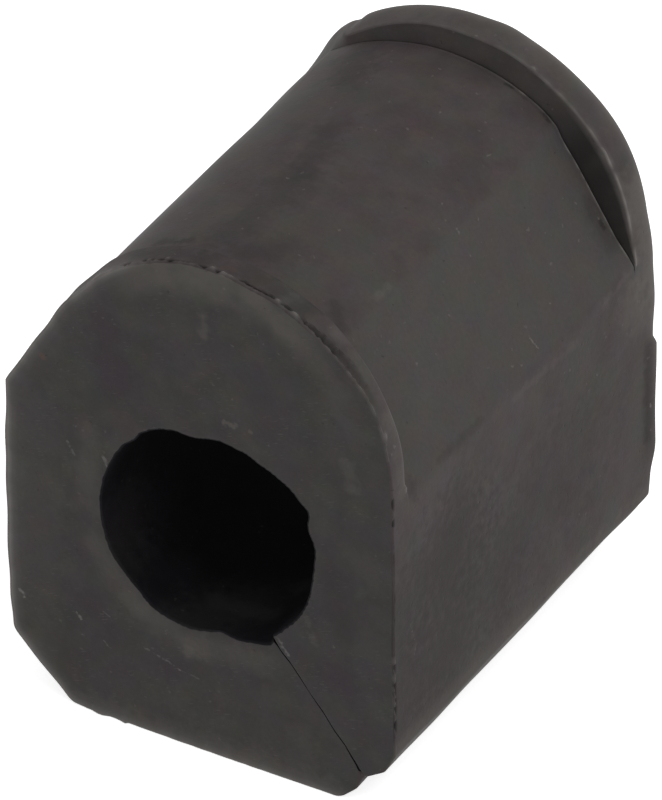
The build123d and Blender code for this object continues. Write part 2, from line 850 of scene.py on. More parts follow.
@dataclass(frozen=True)
class PaintedLight:
    """How strongly wear and grime show on the outer wall.

    Args:
        line: Strength and reach of the painted highlight line along an edge.
        glow: Strength and reach of the fainter painted highlight beside that line.
        end_window: The directions in which the front end's own edge gets that painted highlight.
        bead: Painted highlight on the bead on the rear rim's wall.
        wall: Painted light that lifts the shade on that wall.
        top_edge_strength: Painted highlight along its upper edge.
        lip: Painted highlight on the lip in front of it.
        lip_end: The directions over which the lip's painted highlight ends.
        shoulder: Painted sheen on the saddle's left shoulder, where it turns away.
        shoulder_rise: The directions over which that sets in.
        shoulder_power: How late it sets in there.
        shoulder_end: The directions over which it ends.
        shoulder_start: Where it starts behind the front end.
        rear_edge: Painted highlight along the rear end's edge.
        rear_crown: How much more that is on the crown.
        crown: The crown's directions.
        raised: Painted highlight on what stands up, for each millimetre of its height.
        gap: Painted shade in the gap before the rear rim's wall.
        shade: Painted shade on that wall, at its lower end.
        shade_loss: How much less it is on the crown.
        shade_end: The directions over which it gets less.
        crest: Painted shade on the front rim's crest, which hides the sheen line there.
        nick: Painted shade in a nick, for each millimetre of its depth.
    """

    line: Span = (0.7, 0.3)
    glow: Span = (0.15, 1.2)
    end_window: Window = ((98.0, 110.0), (296.0, 304.0))
    bead: float = 0.25
    wall: float = 0.05
    top_edge_strength: float = 0.7
    lip: float = 0.6
    lip_end: Span = (70.0, 80.0)
    shoulder: float = 0.45
    shoulder_rise: Span = (106.0, 128.0)
    shoulder_power: float = 1.7
    shoulder_end: Span = (130.0, 150.0)
    shoulder_start: Span = (2.0, 4.0)
    rear_edge: float = 0.3
    rear_crown: float = 0.85
    crown: Window = ((-45.0, 20.0), (112.0, 130.0))
    raised: float = 2.0
    gap: float = 0.6
    shade: float = 0.8
    shade_loss: float = 0.75
    shade_end: Span = (54.0, 68.0)
    crest: float = 0.45
    nick: float = 4.0

    def halo(self, inside: np.ndarray) -> np.ndarray:
        """Painted highlight at an edge, by distance from it."""
        strengths = (share * np.exp(-inside / reach) for share, reach in (self.line, self.glow))
        return sum(strengths)

    def end_highlight(self, angles: np.ndarray, inside: np.ndarray) -> np.ndarray:
        """Painted highlight on the front end, by direction and distance from its left and lower
        edges.
        """
        sides = window(angles, *self.end_window)
        return self.halo(inside) * sides * patchy(angles, 0.15, (0.9, 0.37))

    def shoulder_sheen(self, angles: np.ndarray, y: np.ndarray) -> np.ndarray:
        """Painted sheen on the saddle's left shoulder.

        Args:
            angles: The directions about the bore.
            y: The places behind the front end.

        Returns:
            One share for each direction and place.
        """
        first, last = self.shoulder_rise
        rise = np.clip((angles - first) / (last - first), 0.0, 1.0) ** self.shoulder_power
        fall = 1.0 - ramp(angles, *self.shoulder_end)
        return self.shoulder * rise * fall * ramp(y, *self.shoulder_start)

    def rear_highlight(self, angles: np.ndarray, inside: np.ndarray) -> np.ndarray:
        """Painted highlight along the rear end's edge, by direction and distance from it."""
        crown = window(angles, *self.crown)
        return (self.rear_edge + self.rear_crown * crown) * self.halo(inside)


class Surface(Enum):
    """The kinds of surface that the block shows, in the order of its materials."""

    SKIN = 0
    FACE = 1
    BORE = 2


class Net:
    """Points and faces of a mesh while it is put together."""

    def __init__(self) -> None:
        """Start with nothing."""
        self.points: list[np.ndarray] = []
        self.faces: list[tuple[int, ...]] = []
        self.surfaces: list[int] = []
        self.count = 0

    def add(self, points: np.ndarray) -> np.ndarray:
        """Take a grid of points, and give the number of each.

        Args:
            points: The grid, with x, y and z on its last axis.

        Returns:
            The numbers, as a grid of the same shape.
        """
        shape = points.shape[:-1]
        self.points.append(points.reshape(-1, 3))
        numbers = np.arange(self.count, self.count + math.prod(shape)).reshape(shape)
        self.count += math.prod(shape)
        return numbers

    def sheet(self, grid: np.ndarray, flip: bool, surface: Surface) -> None:
        """Span a grid of point numbers with four-sided faces.

        Args:
            grid: The numbers of the points.
            flip: Whether the faces are turned over.
            surface: The kind of surface that they show.
        """
        a, b, c, d = grid[:-1, :-1], grid[1:, :-1], grid[1:, 1:], grid[:-1, 1:]
        faces = np.stack([a, b, c, d], -1).reshape(-1, 4)
        self.take([tuple(face) for face in faces.tolist()], flip, surface)

    def seam(
        self,
        first: np.ndarray,
        first_y: np.ndarray,
        second: np.ndarray,
        second_y: np.ndarray,
        flip: bool,
        surface: Surface,
    ) -> None:
        """Join two rows of points that are spaced differently with triangles.

        Args:
            first: The numbers of the first row's points.
            first_y: Their places along the block.
            second: The numbers of the second row's points.
            second_y: Their places along the block.
            flip: Whether the faces are turned over.
            surface: The kind of surface that they show.
        """
        faces = []
        i, j = 0, 0
        while i < len(first) - 1 or j < len(second) - 1:
            at_end = j == len(second) - 1
            if at_end or (i < len(first) - 1 and first_y[i + 1] <= second_y[j + 1]):
                faces.append((int(first[i]), int(second[j]), int(first[i + 1])))
                i += 1
            else:
                faces.append((int(first[i]), int(second[j]), int(second[j + 1])))
                j += 1
        self.take(faces, flip, surface)

    def take(self, faces: list[tuple[int, ...]], flip: bool, surface: Surface) -> None:
        """Add faces, turned over if flip is true."""
        self.faces += [face[::-1] for face in faces] if flip else faces
        self.surfaces += [surface.value] * len(faces)


@dataclass
class Bushing:
    """The rubber block: an outer wall, a bore, two ends and the two walls of the slit.

    Args:
        length: The block's length.
        section: Its cross section.
        rims: Its raised rims.
        flare: The bulge of its right side.
        firm_from: Where the saddle's soft edges start to get firmer towards the rear rim.
        edge: The radius of the outer edges of the two ends.
        worn_edge: The same radius on the left, where the edges are worn.
        edge_window: The directions of that worn stretch.
        slit: Its slit.
        painted_light: How strongly painted highlights and painted shade show on it.
        shells: How many rows of points lie between the outer wall and the bore.
        crowding: How much closer these rows lie at the two edges.
        sharp_from: The angle from which an edge shows as sharp.
        angle_density: How many directions are sampled for each degree.
        y_density: How many places of the outer wall are sampled for each millimetre.
        bore_density: How many places of the bore are sampled for each millimetre.
        shoulder: The swelling of the saddle's left shoulder, and the hollow of its right one.
        bulges: Where the left side and the rear of the right side stand out.
        burrs: The edge at the front end's foot that stands forward.
        mouth: How the bore's front mouth differs from a circle.
        mouth_depth: How far into the bore that goes.
        chips: The small chips along the bore's mouth.
        ripple: The unevenness of the outer wall.
        relief: The unevenness of the front end.
        cuts: The cracks and the torn hollow behind the front edge.
        flash: The bits that stick up along the front edge, and the nicks in it.
        rim_highlight: Where a painted highlight runs along the upper edge of the rear rim's wall.
        lip_highlight: Where a painted highlight runs along the lip on the saddle's rear edge.
        lobes: The soft humps beside the torn hollow.
        flecks: The larger bits and nicks, each at its own place.
    """

    length: float = 46.0
    section: Section = Section()
    rims: Rims = Rims()
    flare: Flare = Flare()
    firm_from: float = 33.0
    edge: float = 0.2
    worn_edge: float = 0.6
    edge_window: Window = ((150.0, 172.0), (232.0, 246.0))
    slit: Slit = Slit()
    painted_light: PaintedLight = PaintedLight()
    shells: int = 14
    crowding: float = 0.85
    sharp_from: float = 38.0
    angle_density: Density = Density(
        0.55,
        (
            (18.0, 114.0, 2.4),
            (-54.0, -45.0, 2.4),
            (-45.0, 18.0, 1.5),
            (114.0, 135.0, 0.8),
            (218.0, 224.0, 1.5),
            (236.0, 252.0, 1.5),
            (252.0, 296.0, 0.4),
            (296.0, 308.0, 2.4),
        ),
    )
    y_density: Density = Density(
        0.7,
        (
            (0.0, 0.4, 18.0),
            (0.4, 2.6, 5.0),
            (2.6, 3.1, 14.0),
            (42.2, 43.1, 14.0),
            (42.58, 42.74, 50.0),
            (43.1, 45.5, 1.6),
            (45.5, 46.0, 8.0),
        ),
    )
    bore_density: Density = Density(0.3, ((0.0, 0.3, 14.0), (0.3, 4.0, 1.2), (45.7, 46.0, 10.0)))
    shoulder: tuple[Dent, ...] = (Dent(128.0, 12.0, 0.4), Dent(60.0, 4.5, -0.32, 43.0, 9.0))
    bulges: tuple[Dent, ...] = (
        Dent(13.0, 8.0, 0.28, 46.0, 14.0),
        Dent(170.0, 7.0, 0.34),
        Dent(185.0, 10.0, 0.42),
        Dent(204.0, 11.0, 0.48),
        Dent(215.0, 3.5, 0.24),
        Dent(230.0, 6.0, 0.16),
    )
    burrs: tuple[Dent | RaggedLine, ...] = (
        Dent(271.0, 32.0, 0.22, 0.0, 0.5),
        RaggedLine(34, 240.0, 301.0, 0.05, 0.0, 0.4, 1.5, 0.0),
        RaggedLine(35, 242.0, 251.5, 0.26, 0.0, 0.4, 1.2, 0.2),
    )
    mouth: tuple[Dent, ...] = (
        Dent(13.0, 9.5, 0.5),
        Dent(30.0, 4.5, 0.58),
        Dent(37.0, 13.0, 0.95),
        Dent(52.0, 14.0, 0.3),
        Dent(67.0, 3.5, 0.12),
        Dent(94.0, 10.0, -0.72),
        Dent(106.0, 9.0, -0.2),
        Dent(133.0, 4.0, -0.22),
        Dent(157.0, 36.0, -0.5),
        Dent(210.0, 9.0, 0.14),
        Dent(241.0, 7.0, 0.36),
        Dent(251.0, 7.0, 0.2),
        Dent(268.0, 5.0, -0.2),
        Dent(278.0, 8.0, -0.8),
        Dent(304.0, 7.0, 0.62),
        Dent(-41.0, 7.0, -0.12),
    )
    mouth_depth: float = 3.0
    chips: RaggedLine = RaggedLine(27, -50.0, 306.0, 0.09, 0.0, 0.25, 1.1, 0.5)
    ripple: Ripple = Ripple(11, 9.0, 0.035)
    relief: Ripple = Ripple(12, 7.0, 0.03)
    cuts: tuple[Cut, ...] = (
        Cut(
            (
                Knot(75.0, 0.4, 0.1, 0.0),
                Knot(75.6, 0.42, 0.13, 0.5),
                Knot(78.0, 0.36, 0.13, 0.45),
                Knot(81.6, 0.36, 0.12, 0.4),
                Knot(82.6, 0.34, 0.1, 0.0),
            )
        ),
        Cut(
            (
                Knot(71.3, 0.4, 0.1, 0.0),
                Knot(71.9, 0.42, 0.16, 0.45),
                Knot(73.2, 0.42, 0.13, 0.4),
                Knot(73.9, 0.4, 0.1, 0.0),
            ),
            seed=32,
        ),
        Cut(
            (
                Knot(48.0, 0.5, 0.3, 0.0),
                Knot(50.0, 0.58, 0.36, 0.2),
                Knot(54.0, 0.66, 0.45, 0.4),
                Knot(57.5, 0.78, 0.6, 0.5),
                Knot(60.0, 0.72, 0.5, 0.55),
                Knot(62.5, 0.62, 0.42, 0.6),
                Knot(65.5, 0.52, 0.32, 0.55),
                Knot(68.6, 0.44, 0.2, 0.5),
                Knot(69.8, 0.42, 0.14, 0.0),
            ),
            0.2,
            0.4,
            0.35,
            0.08,
            33,
        ),
    )
    flash: tuple[RaggedLine, ...] = (
        RaggedLine(21, 38.0, 58.0, 0.16, 0.06, 0.07, 1.3, 0.35),
        RaggedLine(22, 58.0, 112.0, 0.1, 0.07, 0.08, 0.8, 0.5),
        RaggedLine(23, 22.0, 31.0, -0.4, 0.16, 0.1, 1.3, 0.2),
        RaggedLine(24, 4.0, 18.0, -0.14, 0.13, 0.08, 1.6, 0.1),
        RaggedLine(36, -20.0, 3.0, -0.12, 0.15, 0.08, 1.0, 0.4),
        RaggedLine(25, -42.0, -20.0, -0.4, 0.2, 0.12, 0.9, 0.3),
        RaggedLine(26, 84.0, 110.0, -0.14, 0.22, 0.1, 0.5, 0.6),
        RaggedLine(29, -42.0, -18.0, 0.2, 0.12, 0.12, 0.9, 0.35),
    )
    rim_highlight: RaggedLine = RaggedLine(28, 26.0, 104.0, 0.0, 42.94, 0.15, 1.7, 0.15)
    lip_highlight: RaggedLine = RaggedLine(30, 26.0, 86.0, 0.0, 42.4, 0.09, 1.2, 0.1)
    lobes: tuple[Dent, ...] = (Dent(65.5, 3.4, 0.22, 2.0, 0.75), Dent(55.0, 4.0, 0.12, 2.2, 0.5))
    flecks: tuple[Dent, ...] = (
        Dent(106.2, 0.35, -0.25, 0.2, 0.1),
        Dent(105.2, 0.25, -0.2, 0.22, 0.1),
        Dent(101.8, 0.3, -0.25, 0.3, 0.12),
        Dent(100.9, 0.3, 0.15, 0.3, 0.12),
        Dent(100.0, 0.25, -0.2, 0.35, 0.1),
        Dent(98.0, 0.6, -0.25, 0.3, 0.1),
        Dent(96.9, 0.35, 0.22, 0.4, 0.14),
        Dent(96.2, 0.45, -0.3, 0.22, 0.12),
        Dent(89.2, 0.5, -0.3, 0.2, 0.12),
        Dent(87.6, 0.4, 0.24, 0.3, 0.14),
        Dent(86.4, 0.45, -0.35, 0.2, 0.12),
        Dent(85.4, 0.6, 0.26, 0.16, 0.14),
        Dent(83.9, 0.6, 0.18, 0.15, 0.12),
        Dent(74.5, 0.45, 0.28, 0.35, 0.16),
        Dent(70.7, 0.7, 0.28, 0.3, 0.18),
        Dent(43.0, 0.7, 0.25, 0.3, 0.2),
        Dent(28.6, 0.7, 0.2, 2.4, 0.3),
        # Two bumps on the upper edge of the rear rim's wall, which also carry painted highlight.
        Dent(71.7, 0.5, 0.24, 42.96, 0.15),
        Dent(51.8, 1.3, 0.2, 42.85, 0.18),
    )

    def from_end(self, y: np.ndarray) -> np.ndarray:
        """Distance from the nearer end."""
        return np.minimum(y, self.length - y)

    def outer_edge(self, angles: np.ndarray) -> np.ndarray:
        """Radius of the outer edges of the two ends, by direction."""
        return self.edge + (self.worn_edge - self.edge) * window(angles, *self.edge_window)

    def rounding(self, y: np.ndarray, radius: np.ndarray) -> np.ndarray:
        """How far a rounded edge has drawn back from a wall that meets an end."""
        inside = np.clip(radius - self.from_end(y), 0.0, radius)
        return radius - np.sqrt(np.maximum(radius**2 - inside**2, 0.0))

    def outer(self, angles: np.ndarray, y: np.ndarray) -> np.ndarray:
        """Distance of the outer wall from the bore's axis.

        Args:
            angles: The directions about the bore.
            y: The places behind the front end.

        Returns:
            One distance for each direction and place.
        """
        section, rims, length = self.section, self.rims, self.length
        soft = section.reach(section.saddle(), angles, section.saddle_kinks)
        firm = section.reach(section.saddle(), angles)
        saddle = soft + (firm - soft) * ramp(y, self.firm_from, length - rims.rear)
        for dent in self.shoulder:
            saddle = saddle + dent.lift(angles, y)
        saddle = saddle + rims.lip * rims.lip_share(angles, y, length)
        saddle = saddle - rims.gap_depth * rims.gap_share(angles, y, length)
        rim = section.reach(section.rim(), angles) + rims.lift(angles, y)
        drawn_back = rims.worn(angles, y, length) * ramp(np.maximum(rim - saddle, 0.0), 0.0, 1.0)
        top = rim - drawn_back + rims.bead * rims.bead_share(angles, y, length)
        wall = saddle + (top - saddle) * rims.share(angles, y, length)
        wall = wall + self.flare.lift(angles, y, section, length)
        for cut in self.cuts:
            wall = wall - cut.depth(angles, y)
        for bit in self.flash + self.flecks + self.lobes + self.bulges:
            wall = wall + bit.lift(angles, y)
        turn = np.radians(angles)
        spots = np.stack(np.broadcast_arrays(wall * np.cos(turn), y, wall * np.sin(turn)), -1)
        uneven = self.ripple(spots) * ramp(spots[..., 2] + section.bore[1], 0.0, 1.5)
        return wall + uneven - self.rounding(y, self.outer_edge(angles))

    def painted_highlight(self, angles: np.ndarray, y: np.ndarray) -> np.ndarray:
        """Painted highlight on the outer wall: along its edges, on the rear rim's wall and lip, on
        the left shoulder and on what stands up from it.

        Args:
            angles: The directions about the bore.
            y: The places behind the front end.

        Returns:
            One share for each direction and place.
        """
        rims, painted_light, length = self.rims, self.painted_light, self.length
        # Painted highlight along the upper edge of the rear rim's wall.
        top_edge_strength = painted_light.top_edge_strength * rims.top_edge_strength(angles) * self.rim_highlight.share(angles, y)
        # Painted highlight on the lip at the saddle's rear edge.
        lip = painted_light.lip * (1.0 - ramp(angles, *painted_light.lip_end)) * self.lip_highlight.share(angles, y)
        # Painted highlight on the bead, and painted light on the rear rim's wall.
        total = painted_light.bead * rims.bead_share(angles, y, length)
        total = total + painted_light.wall * rims.wall_share(angles, y, length) + top_edge_strength + lip
        total = total + painted_light.end_highlight(angles, y) + painted_light.shoulder_sheen(angles, y)
        total = total + painted_light.rear_highlight(angles, length - y)
        # Painted highlight on the raised bits, by their height.
        for bit in self.flash + self.flecks:
            if bit.height > 0.0:
                total = total + painted_light.raised * bit.lift(angles, y)
        return np.clip(total, 0.0, 1.0)

    def painted_shade(self, angles: np.ndarray, y: np.ndarray) -> np.ndarray:
        """Painted shade on the outer wall: in its gap, on the rear rim's wall, along the front rim's
        crest and in its cracks and nicks.

        Args:
            angles: The directions about the bore.
            y: The places behind the front end.

        Returns:
            One share for each direction and place.
        """
        rims, painted_light, length = self.rims, self.painted_light, self.length
        # Painted shade in the gap, on the rear rim's wall and along the front rim's crest.
        shade = painted_light.shade - painted_light.shade_loss * ramp(angles, *painted_light.shade_end)
        total = painted_light.gap * rims.gap_share(angles, y, length)
        total = total + shade * rims.wall_share(angles, y, length)
        total = total + painted_light.crest * rims.crest_share(angles, y)
        # Painted shade in the cracks and the torn hollow, by their depth.
        for cut in self.cuts:
            total = total + cut.shade_strength * cut.depth(angles, y)
        # Painted shade in the nicks, by their depth.
        for bit in self.flash + self.flecks:
            if bit.height < 0.0:
                total = total - painted_light.nick * bit.lift(angles, y)
        return np.clip(total, 0.0, 1.0)

    def inner(self, angles: np.ndarray, y: np.ndarray) -> np.ndarray:
        """Distance of the bore's wall from its axis.

        Args:
            angles: The directions about the bore.
            y: The places behind the front end.

        Returns:
            One distance for each direction and place.
        """
        wall = np.full(np.broadcast_shapes(angles.shape, y.shape), self.section.bore_radius)
        near_front = np.exp(-y / self.mouth_depth)
        for dent in self.mouth:
            wall = wall + dent.lift(angles, 0.0) * near_front
        return wall + self.chips.lift(angles, y) + self.rounding(y, self.edge)

    def layer(self, angles: np.ndarray, shares: np.ndarray, y: np.ndarray) -> np.ndarray:
        """Points of the block in three directions.

        Args:
            angles: The directions about the bore.
            shares: How far each row lies from the outer wall, 0, towards the bore, 1.
            y: The places behind the front end.

        Returns:
            A point for each direction, share and place.
        """
        angles, shares, y = angles[:, None, None], shares[None, :, None], y[None, None, :]
        outer, inner = self.outer(angles, y), self.inner(angles, y)
        reach = outer + (inner - outer) * shares
        turn = np.radians(angles)
        along = np.broadcast_to(y, reach.shape)
        points = np.stack([reach * np.cos(turn), along, reach * np.sin(turn)], -1)
        on_face = np.sin(math.pi * shares) * np.exp(-y)
        points[..., 1] += (self.relief(points) + 3.0 * self.relief.height) * on_face
        for burr in self.burrs:
            points[..., 1] -= burr.lift(angles, (outer - inner) * shares) * np.exp(-2.0 * y)
        slit = self.section.slit_angle
        way = math.radians(slit)
        across = np.array([-math.sin(way), 0.0, math.cos(way)])
        points += self.slit.shift(angles - slit, reach, inner, outer)[..., None] * across
        return points + np.array([self.section.bore[0], 0.0, self.section.bore[1]])

    def build(self, place: "Placing") -> bpy.types.Object:
        """Make the block's mesh.

        Args:
            place: Turns drawn millimetres into metres in the part's frame.

        Returns:
            The new object.
        """
        slit = self.section.slit_angle
        angles = spaced(slit, slit + 360.0, self.angle_density)
        y = spaced(0.0, self.length, self.y_density)
        bore_y = spaced(0.0, self.length, self.bore_density)
        even = np.linspace(0.0, 1.0, self.shells)[1:-1]
        shares = even - np.sin(math.tau * even) / math.tau * self.crowding
        net = Net()
        outer = net.add(self.layer(angles, np.zeros(1), y)[:, 0])
        bore = net.add(self.layer(angles, np.ones(1), bore_y)[:, 0])
        front = net.add(self.layer(angles, shares, y[:1])[:, :, 0])
        rear = net.add(self.layer(angles, shares, y[-1:])[:, :, 0])
        front = np.column_stack([outer[:, 0], front, bore[:, 0]])
        rear = np.column_stack([outer[:, -1], rear, bore[:, -1]])
        net.sheet(outer, True, Surface.SKIN)
        net.sheet(bore, False, Surface.BORE)
        net.sheet(front, False, Surface.FACE)
        net.sheet(rear, True, Surface.FACE)
        for row, flip in ((0, False), (-1, True)):
            inside = net.add(self.layer(angles[[row]], shares, y[1:-1])[0])
            rows = np.column_stack([front[row, 1:-1], inside, rear[row, 1:-1]])
            net.sheet(np.vstack([outer[row], rows]), flip, Surface.BORE)
            net.seam(rows[-1], y, bore[row], bore_y, flip, Surface.BORE)
        mesh = bpy.data.meshes.new("rubber_block")
        mesh.from_pydata(place.metres(np.concatenate(net.points)).tolist(), [], net.faces)
        mesh.polygons.foreach_set("material_index", net.surfaces)
        around, along = angles[:, None], y[None, :]
        inside = (self.outer(around, y[:1]) - self.inner(around, y[:1])) * shares
        # Painted highlight along the front end's left and lower edges.
        end_highlight = self.painted_light.end_highlight(around, inside)
        painted_highlight = ((outer, self.painted_highlight(around, along)), (front[:, 1:-1], end_highlight))
        # Painted highlight goes on the mesh as a trace.
        self.trace(mesh, "painted_highlight", painted_highlight)
        # Painted shade goes on the mesh as a trace.
        self.trace(mesh, "painted_shade", ((outer, self.painted_shade(around, along)),))
        mesh.shade_smooth()
        mesh.set_sharp_from_angle(angle=math.radians(self.sharp_from))
        piece = bpy.data.objects.new("rubber_block", mesh)
        bpy.context.scene.collection.objects.link(piece)
        return piece

    @staticmethod
    def trace(
        mesh: bpy.types.Mesh, name: str, places: tuple[tuple[np.ndarray, np.ndarray], ...]
    ) -> None:
        """Note on the mesh how strongly a trace shows at each point.

        Args:
            mesh: The block's mesh.
            name: The trace's name.
            places: Numbers of points that have it, each set with its strengths.
        """
        values = np.zeros(len(mesh.vertices))
        for numbers, strength in places:
            values[numbers] = strength
        mesh.attributes.new(name, "FLOAT", "POINT").data.foreach_set("value", values)


@dataclass(frozen=True)
class Placing:
    """Turns drawn millimetres into metres in the part's frame.

    Args:
        corner: The block's lowest left corner at its front end, in metres.
        half_width: Half the block's width, in millimetres.
    """

    corner: Vector
    half_width: float

    def metres(self, points: np.ndarray) -> np.ndarray:
        """Points in metres in the part's frame."""
        return (points + np.array([self.half_width, 0.0, 0.0])) * MM + np.array(self.corner)


class Graph:
    """Node tree of a material or of the sky, with short calls that add nodes."""

    def __init__(self, owner: bpy.types.Material | bpy.types.World) -> None:
        """Start with an empty tree.

        Args:
            owner: The material or the world that has the tree.
        """
        owner.use_nodes = True
        self.owner = owner
        self.tree = owner.node_tree
        self.tree.nodes.clear()

    def node(self, kind: str, inputs: dict | None = None, **settings: str | bool) -> bpy.types.Node:
        """Add a node.

        Args:
            kind: The node's type, without its ShaderNode prefix.
            inputs: A value or a socket for each named or numbered input.
            settings: Values for the node's own properties.

        Returns:
            The new node.
        """
        made = self.tree.nodes.new("ShaderNode" + kind)
        for name, value in settings.items():
            setattr(made, name, value)
        for key, value in (inputs or {}).items():
            if isinstance(value, Socket):
                self.tree.links.new(value, made.inputs[key])
            else:
                made.inputs[key].default_value = value
        return made

    def math(self, operation: str, first: Input, second: Input = 0.0, clamp: bool = False) -> Socket:
        """Result of a Math node on two values or sockets."""
        inputs = {0: first, 1: second}
        return self.node("Math", inputs, operation=operation, use_clamp=clamp).outputs[0]

    def product(self, first: Input, second: Input) -> Socket:
        """Product of two values or sockets."""
        return self.math("MULTIPLY", first, second)

    def vector(self, operation: str, first: Input, second: Input = (0.0, 0.0, 0.0)) -> Socket:
        """Vector that a Vector Math node makes of two vectors."""
        return self.node("VectorMath", {0: first, 1: second}, operation=operation).outputs["Vector"]

    def measure(self, operation: str, first: Input, second: Input = (0.0, 0.0, 0.0)) -> Socket:
        """Number that a Vector Math node makes of two vectors."""
        return self.node("VectorMath", {0: first, 1: second}, operation=operation).outputs["Value"]

    def scaled(self, vector: Input, scale: Input) -> Socket:
        """Vector or colour times a number."""
        inputs = {0: vector, "Scale": scale}
        return self.node("VectorMath", inputs, operation="SCALE").outputs["Vector"]

    def drawn(self, place: Placing) -> Socket:
        """Place on the block in drawn millimetres.

        Args:
            place: Turns drawn millimetres into metres in the part's frame.

        Returns:
            The socket that gives it.
        """
        spot = self.node("TexCoord").outputs["Object"]
        moved = self.vector("SUBTRACT", spot, tuple(place.metres(np.zeros(3))))
        return self.vector("MULTIPLY", moved, (1.0 / MM,) * 3)

    def cloud(self, vector: Socket, scale: float, detail: float, output: str) -> Socket:
        """Output of a noise texture."""
        inputs = {"Vector": vector, "Scale": scale, "Detail": detail}
        return self.node("TexNoise", inputs).outputs[output]

    def noise(self, vector: Socket, scale: float, detail: float = 3.0) -> Socket:
        """Value of a noise texture."""
        return self.cloud(vector, scale, detail, "Fac")

    def trace(self, name: str) -> Socket:
        """How strongly a trace that the mesh carries shows."""
        return self.node("Attribute", attribute_name=name).outputs["Fac"]

    def spread(self, value: Socket, low: float, high: float) -> Socket:
        """A value's part between two limits, as a share from 0 to 1."""
        limits = {"Value": value, "From Min": low, "From Max": high}
        return self.node("MapRange", limits, interpolation_type="SMOOTHSTEP").outputs[0]

    def between(self, value: Socket, low: float, high: float, soft: float) -> Socket:
        """Share that is 1 between two limits and fades to 0 outside them."""
        rising = self.spread(value, low - soft, low + soft)
        return self.product(rising, self.spread(value, high + soft, high - soft))

    def mix(self, share: Input, first: Input, second: Input) -> Socket:
        """Mix of two colours."""
        return self.node("Mix", {0: share, 6: first, 7: second}, data_type="RGBA").outputs[2]

    def specks(self, vector: Socket, scale: float, size: float, rare: float) -> Socket:
        """Small round spots, scattered at random.

        Args:
            vector: The place on the block, in millimetres.
            scale: How many cells there are for each millimetre.
            size: The spots' radius, as a share of a cell.
            rare: The share of the cells that stay empty.

        Returns:
            The share of the surface that a spot covers.
        """
        wobble = self.cloud(vector, 4.0 * scale, 1.0, "Color")
        moved = self.vector("ADD", vector, self.scaled(wobble, 0.45 / scale))
        cells = self.node("TexVoronoi", {"Vector": moved, "Scale": scale})
        near = self.spread(cells.outputs["Distance"], size, size * 0.2)
        pick = self.node("SeparateColor", {0: cells.outputs["Color"]}).outputs[0]
        return self.product(near, self.math("GREATER_THAN", pick, rare))

    def capsule(self, vector: Socket, mark: "Mark") -> Socket:
        """Share of the surface that a mark covers: a rounded streak between two points.

        Args:
            vector: The place on the block, in millimetres.
            mark: The mark.

        Returns:
            The share of the surface.
        """
        start = Vector(mark.start)
        run = Vector(mark.end) - start
        offset = self.vector("SUBTRACT", vector, tuple(start))
        along = self.measure("DOT_PRODUCT", offset, tuple(run))
        along = self.math("DIVIDE", along, max(run.length_squared, 1e-6), True)
        apart = self.vector("SUBTRACT", offset, self.scaled(tuple(run), along))
        grain = self.math("SUBTRACT", self.noise(vector, mark.grain, 2.0), 0.5)
        wobble = self.product(grain, mark.ragged * mark.width * 4.0)
        distance = self.math("ADD", self.measure("LENGTH", apart), wobble)
        cover = self.spread(distance, mark.width, mark.width * (1.0 - mark.kind.value.softness))
        return self.product(cover, mark.strength)


@dataclass(frozen=True)
class Tint:
    """Colour of a kind of mark, and how softly it ends.

    Args:
        colour: The colour.
        softness: The share of the mark's width in which it fades out.
    """

    colour: Colour
    softness: float


class MarkKind(Enum):
    """The kinds of mark on the rubber; some also carry painted shade, highlight or sheen."""

    # Also the colour of painted highlights and sheen.
    DUST = Tint((0.115, 0.106, 0.094, 1.0), 0.9)
    # Also the colour of the painted highlights.
    SCRATCH = Tint((0.20, 0.19, 0.18, 1.0), 0.95)
    # Also the colour of much painted shade.
    STAIN = Tint((0.026, 0.022, 0.022, 1.0), 0.95)
    # Near-black colour of the painted shade.
    GRIME = Tint((0.009, 0.008, 0.008, 1.0), 0.9)
    RUST = Tint((0.10, 0.058, 0.035, 1.0), 0.7)
    MOSS = Tint((0.058, 0.064, 0.053, 1.0), 0.95)
    # Also the colour of painted sheen in the bore.
    PLUM = Tint((0.040, 0.031, 0.039, 1.0), 0.95)


@dataclass(frozen=True)
class Mark:
    """Scuff, smudge, scratch, painted shade or painted highlight at its own place.

    Args:
        kind: What it is.
        start: Where it starts, in drawn millimetres.
        end: Where it ends.
        width: Its half width.
        strength: How strongly it covers the rubber.
        ragged: How uneven its outline is.
        grain: How many bumps its outline has for each millimetre.
    """

    kind: MarkKind
    start: Spot
    end: Spot
    width: float
    strength: float = 0.5
    ragged: float = 0.3
    grain: float = 1.0


